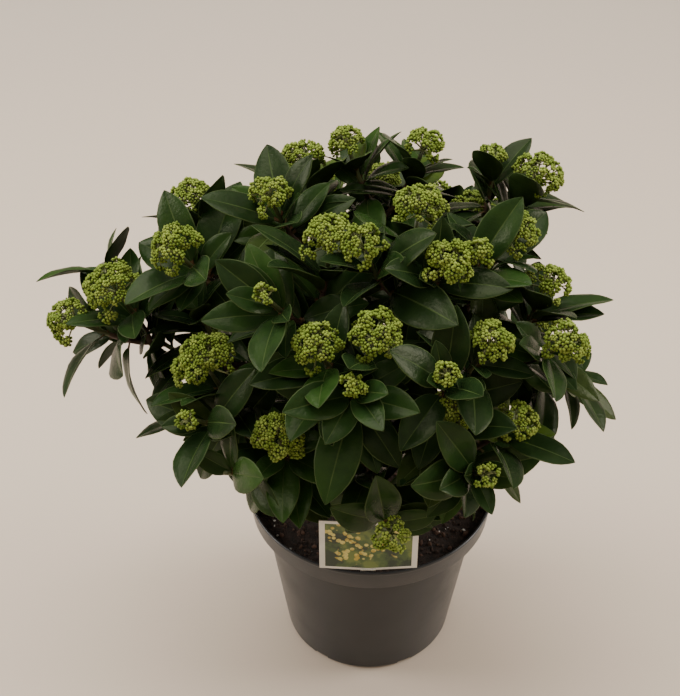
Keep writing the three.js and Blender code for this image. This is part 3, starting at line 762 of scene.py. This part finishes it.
def leaf_points(leaves, rng):
    """The points of every leaf's mesh: (leaf, row, column, 3)."""
    count = len(leaves)

    def many(spread, middle=0.0):
        return (middle + spread * (2 * rng.random(count) - 1))[:, None, None]

    def values(key):
        return np.array([getattr(leaf, key) for leaf in leaves])[:, None, None]

    length = values("length")
    x = LEAF_ROWS[None, :, None]
    y = LEAF_COLUMNS[None, None, :]
    half = half_widths(x, length * BLADE.share * (1 + many(BLADE.width_jitter)) / 2)
    stalk = np.clip((x - BLADE.fold_from) / BLADE.fold_over, 0, 1)
    across = y * half
    fold = many(BLADE.fold_spread, BLADE.fold) * stalk
    lift = (fold * np.abs(y) - BLADE.recurve * stalk * np.abs(y) ** 3) * half
    phase = 2 * pi * many(0.5) + np.sign(y) * BLADE.wave_shift
    lift = lift + BLADE.wave * y * y * half * stalk * np.sin(2 * pi * BLADE.waves * x + phase)
    lift = lift - (1 - IS_UNDER) * BLADE.groove * stalk * np.exp(-((y / BLADE.groove_half) ** 2))
    lift = lift - IS_UNDER * mix(BLADE.stalk_thick, BLADE.thick, stalk)
    twist = np.radians(many(BLADE.twist)) * x
    turned = across * np.cos(twist) - lift * np.sin(twist)
    lifted = across * np.sin(twist) + lift * np.cos(twist)
    arch = values("droop") * (LEAF.rise * x - x * x) * length
    sideways = many(BLADE.bend) * length * x * x
    return (
        values("root")
        + values("heading") * (x * length)[..., None]
        + values("side") * (turned + sideways)[..., None]
        + values("upper") * (lifted + arch)[..., None]
    )


def add_leaves(piece, leaves, greens, rng):
    sides = len(LEAF_COLUMNS)
    strips = np.tile(STRIPS, (len(LEAF_ROWS) - 1, 1))
    strips[:STALK_ROWS] = STALK
    kinds = strips.ravel()
    for points, green in zip(leaf_points(leaves, rng), greens):
        own = np.where(kinds == 0, green, kinds)
        add_rings(piece, points.reshape(-1, 3), sides, own, (STALK, STALK))


def spray_green(rng, shoot_green):
    """A leaf's green: mostly its spray's own, now and then a neighbouring tone."""
    if rng.random() < OWN_GREEN:
        return shoot_green
    return int(rng.choice(LEAF_KINDS, p=OTHER_GREENS))


# ---- Flower heads ----

# a bud of unit size: radii and heights of its rings, and how much longer than wide it is
BUD = Sizes(sides=5, rings=((0.78, -0.45), (0.9, 0.45)), foot=-0.95, tip=1.0, longer=1.12)
# a head is a heap of small domes (lobes), each set with clusters of buds: tilt from the head's own
# axis, distance from its middle and radius as shares of its radius, and how many stand at that tilt
LOBES = (
    Sizes(tilt=84.0, out=0.62, size=0.40, count=5),
    Sizes(tilt=42.0, out=0.58, size=0.40, count=5),
    Sizes(tilt=0.0, out=0.50, size=0.40, count=1),
)
STRAY_LOBES = Sizes(tilt=122.0, out=0.98, size=0.27, count=3)
# a head: how it is flattened along its axis, the area in square millimetres that a cluster takes,
# how far a cluster's buds spread, how many there are and their radius, the share of clusters left
# out, the diameter from which a head has strays, and the small differences between all of these
HEAD = Sizes(
    flat=0.8, patch=49.0, cluster=2.35, buds=7, bud=1.4, missing=0.05, with_strays=30.0,
    tilt_jitter=8.0, turn_jitter=11.0, size_jitter=0.2, heart=0.14, rooted=4.0,
    out_jitter=(-0.4, 0.9), overlap=0.93, bare_below=0.5,
    node=2.6, meet=2.4, cluster_sizes=(0.82, 1.15), bud_jitter=0.12, bud_rise=(0.1, 0.35),
    dome=0.3, bud_foot=0.5,
)
# radii at the foot and the end, and number of sides, of each kind of stalk
STALKS = Sizes(head=(1.5, 1.2, 6), lobe=(0.9, 0.6, 5), cluster=(0.55, 0.4, 3), bud=(0.4, 0.35, 3))
BUD_STALK = 2 * len(BUD_TINTS)


def bud_template():
    """Unit points (across, over, along) of a bud, and the faces of its body, foot and tip."""
    sides, rings = BUD.sides, len(BUD.rings)
    points = np.concatenate((lathe(BUD.rings, sides), ((0, 0, BUD.foot), (0, 0, BUD.tip))))
    k = np.arange(sides)
    after = (k + 1) % sides
    end, last = rings * sides, (rings - 1) * sides
    foot = np.stack((np.full(sides, end), after, k), -1)
    tip = np.stack((np.full(sides, end + 1), last + k, last + after), -1)
    return points, ring_faces(rings, sides), foot, tip


def add_bud(piece, template, centre, axis, size, tint):
    points, body, foot, tip = template
    across, over = frame_of(axis)
    x, y, z = points[:, :1], points[:, 1:2], points[:, 2:]
    placed = centre + size * (x * across + y * over + z * axis * BUD.longer)
    # the bud's body and foot take the darker tone, painted shade, and its tip the paler one, a
    # painted highlight
    lower = 2 * tint
    piece.add(placed, (body, lower), (foot, lower), (tip, lower + 1))


def straight(a, b):
    """A line as a curve."""
    return Curve(a, mix(a, b, 1 / 3), mix(a, b, 2 / 3), b)


def add_stalk(piece, a, b, thick, thin, sides):
    tube(piece, straight(a, b), (thick, thin), sides, 1, kind_at=lambda t: BUD_STALK)


def head_lobes(shoot, rng):
    """The middles and radii of a head's small domes, and of the few that stand apart below it."""
    radius = shoot.diameter / 2
    across = unit(np.cross(UP, shoot.lean))
    over = np.cross(shoot.lean, across)
    rings = LOBES + (STRAY_LOBES,) * (shoot.diameter >= HEAD.with_strays)
    for number, ring in enumerate(rings):
        for k in range(ring.count):
            tilt = radians(ring.tilt + rng.normal(0, HEAD.tilt_jitter))
            around = 360 * (k + number / 2) / ring.count + rng.normal(0, HEAD.turn_jitter)
            turn = radians(around)
            flat = (across * cos(turn) + over * sin(turn)) * sin(tilt)
            way = flat + shoot.lean * cos(tilt) * HEAD.flat
            size = ring.size * (1 + HEAD.size_jitter * (2 * rng.random() - 1))
            yield shoot.head + way * ring.out * radius, radius * size


def cluster_places(shoot, lobes, rng):
    """Where clusters stand, with their outward direction: over the lobes, but not inside another."""
    for number, (middle, radius) in enumerate(lobes):
        count = round(4 * pi * radius**2 / HEAD.patch)
        spin = rng.random() * 2 * pi
        for k in range(count):
            height = 1 - 2 * (k + 0.5) / count
            angle = radians(LEAF.golden) * k + spin
            wide = sqrt(1 - height * height)
            way = np.array((wide * cos(angle), wide * sin(angle), height))
            place = middle + way * (radius + rng.normal(*HEAD.out_jitter))
            others = lobes[:number] + lobes[number + 1 :]
            inside = any(norm(place - o) < size * HEAD.overlap for o, size in others)
            beneath = (place - middle).dot(shoot.lean) < -HEAD.bare_below * radius
            facing_out = unit(place - shoot.head).dot(way) > 0.0
            if not inside and not beneath and facing_out and rng.random() > HEAD.missing:
                yield place, way


def add_cluster(piece, template, place, way, rng):
    """A few buds side by side on short stalks from one point."""
    across, over = frame_of(way)
    node = place - way * HEAD.node
    tint = int(rng.choice(len(BUD_TINTS), p=TINT_SHARES))
    spin = rng.random() * 2 * pi
    around = HEAD.buds - 1
    size = rng.uniform(*HEAD.cluster_sizes)
    for k in range(HEAD.buds):
        angle = spin + 2 * pi * k / around
        out = 0.0 if k == around else HEAD.cluster * size * rng.normal(1.0, HEAD.bud_jitter)
        flat = across * cos(angle) + over * sin(angle)
        centre = place + flat * out + way * (rng.normal(*HEAD.bud_rise) - HEAD.dome * out)
        add_stalk(piece, node, centre - way * HEAD.bud_foot, *STALKS.bud)
        facing = unit(way + HEAD.dome * out * flat)
        radius = HEAD.bud * size * rng.normal(1, HEAD.bud_jitter)
        add_bud(piece, template, centre, facing, radius, tint)


def add_head(piece, template, shoot, rng):
    heart = shoot.head - shoot.lean * HEAD.heart * shoot.diameter
    add_stalk(piece, shoot.top - shoot.lean * HEAD.rooted, heart, *STALKS.head)
    lobes = list(head_lobes(shoot, rng))
    for middle, _ in lobes:
        add_stalk(piece, heart, middle, *STALKS.lobe)
    for place, way in cluster_places(shoot, lobes, rng):
        middle = min(lobes, key=lambda lobe: norm(lobe[0] - place))[0]
        add_stalk(piece, middle, place - way * HEAD.meet, *STALKS.cluster)
        add_cluster(piece, template, place, way, rng)


# ---- Wood ----


def bark_relief(phase, depth):
    """Bark in millimetres on the radius: ridges along the wood, and swollen growth rings."""

    def relief(angles, along):
        heights = []
        for angle in angles:
            x, y = BARK.grain * cos(angle), BARK.grain * sin(angle)
            around = Vector((x, y, along / BARK.ridge))
            around.z += BARK.apart * phase
            heights.append(noise.turbulence(around, BARK.octaves, True))
        ring = sin(pi * along / BARK.ring + phase) ** BARK.ring_sharpness
        return depth * (np.array(heights) - BARK.middle) + BARK.ring_share * depth * ring

    return relief


def trunk_line():
    """The trunk's foot, on the mound of soil, and its top."""
    foot = np.array((0.0, 0.0, POT.height - SOIL.rim_drop + SOIL.mound + GAP))
    return foot, np.array((*TRUNK.lean, TRUNK.top))


def add_trunk(piece):
    foot, top = trunk_line()
    sides, steps = MESH.trunk
    angles = turns(sides)
    relief = bark_relief(BARK.trunk_phase, BARK.deep)
    points = []
    for t in np.linspace(0, 1, steps + 1):
        flare = (1 - t) ** TRUNK.flare_fall
        ridge = 1 + TRUNK.ridge * flare * np.cos(TRUNK.ridges * angles)
        radius = mix(TRUNK.radius, TRUNK.top_radius, t) + (TRUNK.foot_radius - TRUNK.radius) * flare
        radius = radius * ridge + relief(angles, t * (top - foot)[2])
        ring = np.stack((radius * np.sin(angles), -radius * np.cos(angles), np.zeros(sides)), -1)
        points.append(mix(foot, top, t) + ring)
    add_rings(piece, np.concatenate(points), sides)


def limb_curve(row):
    azimuth, reach, height, leave = row
    foot, top = trunk_line()
    start = mix(foot, top, leave) - UP * LIMB.sunk
    end = polar(azimuth, reach, height)
    length = norm(end - start)
    first = start + polar(azimuth, 1, 0) * LIMB.out * length + UP * LIMB.up * length
    return Curve(start, first, end - UP * LIMB.arrive * length, end)


def bough_curve(mass, limb):
    start = limb.at(mass.leave)
    end = mass.base.root - mass.base.axis * GAP
    length = norm(end - start)
    first = start + limb.heading(mass.leave) * BOUGH.leave * length
    return Curve(start, first, end - mass.base.axis * BOUGH.arrive * length, end)


def make_wood(masses, materials):
    bark = Piece()
    add_trunk(bark)
    limbs = {name: limb_curve(row) for name, row in LIMBS.items()}
    for k, curve in enumerate(limbs.values()):
        tube(bark, curve, (LIMB.start, LIMB.end), *MESH.limb, bark_relief(k, BARK.fine))
    for k, mass in enumerate(masses):
        relief = bark_relief(k, BARK.bough_share * BARK.fine)
        curve = bough_curve(mass, limbs[mass.limb])
        tube(bark, curve, (BOUGH.start, BOUGH.end), *MESH.bough, relief)
    branches = [f"limb_{name}" for name in LIMBS] + [f"bough_{mass.name}" for mass in masses]
    bark.build("bark", materials, ["trunk", *branches])


def twig_kind(t):
    return int(t >= TWIG.brown) + int(t >= TWIG.green)


def make_twigs(masses, materials):
    twigs = Piece()
    for k, mass in enumerate(masses):
        base = mass.base
        stem = straight(base.root, base.fork + base.axis * SHOOT.fork)
        relief = bark_relief(k, BARK.twig)
        tube(twigs, stem, (SHOOT.stem, SHOOT.fork), *MESH.stem, relief)
        for shoot in mass.shoots:
            tube(twigs, shoot.curve, (SHOOT.fork, SHOOT.end), *MESH.twig, relief, twig_kind)
    twigs.build("twigs", materials, [f"foliage_{mass.name}" for mass in masses])


# ---- Pot, soil and card ----


# how far under the collar the wall ends; then the collar's foot, as offsets from its lower edge,
# and the lip, as offsets from the rim; and the angle from which an edge looks sharp
WALL_END = 3.2
COLLAR_FOOT = ((-10.6, -2.2), (-2.4, -0.8), (-0.7, 0.0), (0.0, 1.0))
LIP = (
    (-0.85, -4.2), (-0.5, -3.2), (0.0, -1.9), (-0.2, -0.7), (-1.0, 0.0), (-2.0, -0.1), (-2.7, -0.9),
)
SHARP = 32.0


def pot_profile():
    """From the middle of the underside, up the outside, over the lip and down to the inner floor."""
    collar, top, base, edge, wall = POT.collar, POT.wall_top, POT.base, POT.edge, POT.wall
    foot = POT.height - POT.collar_depth
    bends = np.linspace(0, pi / 2, 7)[:-1]
    profile = [(AXIS, 0.0)]
    profile += [(base - edge + edge * sin(a), edge - edge * cos(a)) for a in bends]
    profile += [(mix(base, top, t), mix(edge, foot - WALL_END, t)) for t in np.linspace(0, 1, 14)]
    profile += [(collar + x, foot + z) for x, z in COLLAR_FOOT]
    profile += [(POT.rim + x, POT.height + z) for x, z in LIP]
    profile += [(collar - wall, foot + wall), (top - wall, foot), (base - wall, POT.floor)]
    return [*profile, (AXIS, POT.floor)]


def turn_about_up(angle):
    c, s = cos(angle), sin(angle)
    return np.array(((c, -s, 0), (s, c, 0), (0, 0, 1)))


def notch_cutter():
    """The boxes that the drainage notches take out of the foot of the wall."""
    cutter = Piece()
    w, d, h = POT.notch_width / 2, POT.notch_depth, POT.notch_height
    box = np.array([(x, y, z) for z in (-h, h) for y in (-d, d) for x in (-w, w)], float)
    faces = ((0, 2, 3, 1), (4, 5, 7, 6), (0, 1, 5, 4), (2, 6, 7, 3), (0, 4, 6, 2), (1, 3, 7, 5))
    for k in range(POT.notches):
        turn = turn_about_up(radians(POT.first_notch + 360 * k / POT.notches))
        cutter.add((box - (0, POT.base, 0)) @ turn.T, (faces, 0))
    return link("notches", cutter.mesh("notches"))


def cut(obj, cutter):
    """Takes the cutter's shape out of an object, and then removes the cutter."""
    modifier = obj.modifiers.new("cut", "BOOLEAN")
    modifier.object, modifier.operation, modifier.solver = cutter, "DIFFERENCE", "EXACT"
    graph = bpy.context.evaluated_depsgraph_get()
    made = bpy.data.meshes.new_from_object(obj.evaluated_get(graph))
    obj.modifiers.clear()
    obj.data = made
    bpy.data.objects.remove(cutter)


def make_pot():
    pot = Piece()
    add_rings(pot, lathe(pot_profile(), MESH.pot), MESH.pot)
    obj = pot.build("pot_shell", [pot_material()], ["pot"])
    cut(obj, notch_cutter())
    obj.data.shade_smooth()
    obj.data.set_sharp_from_angle(angle=radians(SHARP))


# the lengths of the waves that the clods and crumbs of the soil's surface make
CLOD_WAVES = (5.1, 7.3, 4.7, 6.1)
CRUMB_WAVES = (2.3, 3.9, 2.1, 4.4)


def soil_height(x, y):
    """The soil's surface: a low mound round the trunk, with clods."""
    reach = np.hypot(x, y)
    mound = SOIL.mound * np.clip(1 - (reach - SOIL.mound_top) / SOIL.mound_slope, 0, 1)
    a, b, c, d = CLOD_WAVES
    clods = np.sin(x / a + 1.3 * np.sin(y / b)) * np.sin(y / c + 1.1 * np.sin(x / d))
    a, b, c, d = CRUMB_WAVES
    crumbs = np.sin(x / a + y / b) * np.sin(y / c - x / d)
    inwards = np.clip((SOIL.even_from - reach) / SOIL.even_over, 0, 1)
    rough = (SOIL.clod * clods + SOIL.crumb * crumbs) * inwards
    return POT.height - SOIL.rim_drop + mound + rough - SOIL.settled


def lump_template():
    """A rough pebble: an octahedron cut once, with its points pushed in and out."""
    points = [(0, 0, 1), (1, 0, 0), (0, 1, 0), (-1, 0, 0), (0, -1, 0), (0, 0, -1)]
    faces = [(0, 1, 2), (0, 2, 3), (0, 3, 4), (0, 4, 1), (5, 2, 1), (5, 3, 2), (5, 4, 3), (5, 1, 4)]
    points, out, halves = [np.array(p, float) for p in points], [], {}

    def half(a, b):
        key = (min(a, b), max(a, b))
        if key not in halves:
            halves[key] = len(points)
            points.append(unit(points[a] + points[b]))
        return halves[key]

    for a, b, c in faces:
        ab, bc, ca = half(a, b), half(b, c), half(c, a)
        out += [(a, ab, ca), (ab, b, bc), (ca, bc, c), (ab, bc, ca)]
    return np.array(points), np.array(out)


def scatter(piece, rng, count, sizes, kind, rise):
    """Crumbs or grains lying in the soil's surface, clear of the pot's wall."""
    points, faces = lump_template()
    limit = POT.collar - POT.wall - SOIL.clear
    for _ in range(count):
        reach, angle = limit * sqrt(rng.random()), rng.random() * 2 * pi
        x, y = reach * cos(angle), reach * sin(angle)
        size = rng.uniform(*sizes)
        dents = rng.uniform(*LUMP.dents, (len(points), 1))
        shape = points * dents * rng.uniform(*LUMP.stretch, 3) * size
        turn = turn_about_up(rng.random() * 2 * pi)
        place = (x, y, float(soil_height(x, y)) + rise * size)
        piece.add(shape @ turn.T + place, (faces, kind))


def make_soil():
    soil = Piece()
    foot, outer = POT.height - POT.collar_depth, POT.collar - POT.wall - GAP
    bottom = POT.floor + GAP
    surface = [(r, 0.0) for r in np.linspace(AXIS, outer + SOIL.brim, 46)]
    profile = surface + [
        (outer, foot + SOIL.side), (POT.wall_top - SOIL.side, foot + GAP),
        (POT.base - SOIL.side, bottom), (AXIS, bottom),
    ]
    points = lathe(profile, MESH.soil)
    top = points[: len(surface) * MESH.soil]
    top[:, 2] = soil_height(top[:, 0], top[:, 1])
    add_rings(soil, points, MESH.soil, inverted=True)
    rng = np.random.default_rng(SOIL_SEED)
    for row in CRUMBS:
        scatter(soil, rng, *row)
    soil.build("soil_surface", soil_materials(), ["soil"])


def add_sheet(card, foot):
    """A sheet with a crease down its middle; its front has a white border round the print."""
    half, thick = CARD.width / 2, CARD.thickness / 2
    beside, below, above = CARD.border
    xs = np.array((half, half - beside, half / 2, CARD.crease_half))
    xs = np.concatenate((-xs, xs[::-1]))
    zs = np.array((0.0, below, CARD.height / 2, CARD.height - above, CARD.height))
    rows, levels = len(xs), len(zs)
    number = rows * levels
    x, z = (part.ravel() for part in np.meshgrid(xs, zs, indexing="ij"))
    y = CARD.crease * np.abs(x) / half - CARD.setback
    sheets = [np.stack((x + CARD.x, y + side, z + foot), -1) for side in (-thick, thick)]
    i, j = np.meshgrid(np.arange(rows - 1), np.arange(levels - 1), indexing="ij")
    corner = i * levels + j
    front = np.stack((corner, corner + levels, corner + levels + 1, corner + 1), -1).reshape(-1, 4)
    back = front[:, ::-1] + number
    printed = ((i > 0) & (i < rows - 2) & (j > 0) & (j < levels - 2)).ravel()
    grid = np.arange(number).reshape(rows, levels)
    loop = np.concatenate((grid[:-1, 0], grid[-1, :-1], grid[:0:-1, -1], grid[0, :0:-1]))
    after = np.roll(loop, -1)
    rim = np.stack((loop, loop + number, after + number, after), -1)
    card.add(np.concatenate(sheets), (front, printed), (back, 0), (rim, 0))


def add_stake(card, foot):
    tilt = radians(CARD.stake_tilt)
    down = np.array((0, sin(tilt), -cos(tilt)))
    out = np.array((0, cos(tilt), sin(tilt)))
    start = np.array((CARD.x, -CARD.setback, foot)) - down * CARD.stake_root
    width, thick, length = CARD.stake_width / 2, CARD.thickness / 2, CARD.stake_length
    points = []
    for along, half in ((0.0, width), (length - CARD.point, width), (length, CARD.point_half)):
        for x, y in ((-half, -thick), (half, -thick), (half, thick), (-half, thick)):
            points.append(start + down * along + np.array((x, 0, 0)) + out * y)
    add_rings(card, np.array(points), 4)


def make_card():
    """The picture card, on a stake that slants back into the soil."""
    card = Piece()
    foot = POT.height + CARD.lift
    add_sheet(card, foot)
    add_stake(card, foot)
    card.build("picture_card_print", card_materials(), ["picture_card"], smooth=False)


# ---- The stage, the lights and the camera ----


# in metres, because nothing here is part of the plant
CAMERA = Sizes(
    place=(-0.0286, -0.8286, 0.9714), tilt=52.4, sensor=36, focal=1210, frame=696, clip=(0.05, 30),
)
# each light's place, aim, size, spread in degrees, power and colour
LIGHTS = {
    "top": ((-0.4, 0.7, 2.6), (0, 0, 0.2), 2.4, 180, 69, (1.0, 0.975, 0.92)),
    "left": ((-2.3, 0.2, 1.4), (0, 0, 0.15), 1.3, 110, 14.5, (1.0, 0.98, 0.94)),
    "right": ((2.3, 0.2, 1.4), (0, 0, 0.15), 1.3, 110, 17.5, (1.0, 0.97, 0.92)),
}
AMBIENT = Sizes(color=(1.0, 0.97, 0.93, 1), strength=0.9)
STAGE = Sizes(inner=0.8, reach=1.4, bend=2.6, height=3.8)


def make_camera():
    """A view from above, a little to the left of the middle."""
    data = bpy.data.cameras.new("camera")
    data.sensor_width = CAMERA.sensor
    data.lens = CAMERA.sensor * CAMERA.focal / CAMERA.frame
    data.clip_start, data.clip_end = CAMERA.clip
    camera = link("camera", data)
    camera.location = CAMERA.place
    camera.rotation_euler = (radians(CAMERA.tilt), 0, 0)
    bpy.context.scene.camera = camera


def make_light(name, place, aim, size, spread, power, color):
    data = bpy.data.lights.new(name, "AREA")
    data.shape, data.size, data.energy, data.color = "DISK", size, power, color
    data.spread = radians(spread)
    light = link(name, data)
    light.location = place
    light.rotation_euler = (Vector(aim) - Vector(place)).to_track_quat("-Z", "Y").to_euler()


def stage_material():
    """Pale all over, a little warmer near the middle of the floor."""
    stage = Finish("stage_pale", (0.62, 0.54, 0.45), 0.85)
    pale, warm = (0.62, 0.540, 0.455), (0.63, 0.525, 0.425)
    stage.color(stage.ramp(stage.away(3.0), (0.35, pale), (0.75, warm)))
    stage.bump(stage.noise(18), 0.0002)
    return stage.material


def make_stage():
    """A pale floor that curves up into a wall all round, under soft light from an open top."""
    reach, bend = STAGE.reach, STAGE.bend
    profile = [(AXIS * MILLIMETRE, 0.0), (STAGE.inner, 0.0), (reach, 0.0)]
    bends = np.linspace(0, pi / 2, 14)[1:]
    profile += [(reach + bend * sin(a), bend - bend * cos(a)) for a in bends]
    profile.append((reach + bend, STAGE.height))
    quads = ring_faces(len(profile), MESH.floor)
    mesh = bpy.data.meshes.new("floor")
    mesh.from_pydata(lathe(profile, MESH.floor).tolist(), [], quads.tolist())
    mesh.shade_smooth()
    mesh.materials.append(stage_material())
    floor = link("floor", mesh)
    floor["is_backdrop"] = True
    for name, row in LIGHTS.items():
        make_light(name, *row)
    world = bpy.data.worlds.new("world")
    world.use_nodes = True
    background = world.node_tree.nodes["Background"]
    background.inputs["Color"].default_value = AMBIENT.color
    background.inputs["Strength"].default_value = AMBIENT.strength
    bpy.context.scene.world = world


# ---- The plant ----


# masses whose middle lies beyond this are the crown's back
BACK_FROM = 20.0


def side_of(mass):
    """The part of the crown whose leaves, and whose buds, are joined in one piece."""
    middle = mass.base.middle
    if middle[1] > BACK_FROM:
        return "back"
    return "left" if middle[0] < 0 else "right"


def make_foliage(masses):
    greens, buds = leaf_materials(), bud_materials()
    template = bud_template()
    for number, side in enumerate(("back", "left", "right")):
        rng = np.random.default_rng(CROWN_SEED + number)
        here = [mass for mass in masses if side_of(mass) == side]
        nodes = [f"foliage_{mass.name}" for mass in here]
        shoots = [shoot for mass in here for shoot in mass.shoots]
        sprays = {id(shoot): int(rng.choice(LEAF_KINDS, p=SPRAY_GREENS)) for shoot in shoots}
        leaves = [leaf for mass in here for leaf in mass.leaves]
        tones = [spray_green(rng, sprays[id(leaf.shoot)]) for leaf in leaves]
        blades = Piece()
        add_leaves(blades, leaves, tones, rng)
        blades.build(f"leaves_{side}", greens, nodes)
        heads = Piece()
        for shoot in shoots:
            if shoot.diameter:
                add_head(heads, template, shoot, rng)
        heads.build(f"buds_{side}", buds, nodes)


make_camera()
make_stage()
masses = [Mass(name, row) for name, row in MASSES.items()]
for mass in masses:
    grow_main_leaves(mass)
Crown(masses).grow_finer_leaves()
make_foliage(masses)
wood = wood_materials()
make_wood(masses, wood)
make_twigs(masses, wood)
make_pot()
make_soil()
make_card()

[[list(corner) for corner in box] for box in (cad_bounds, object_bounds())]
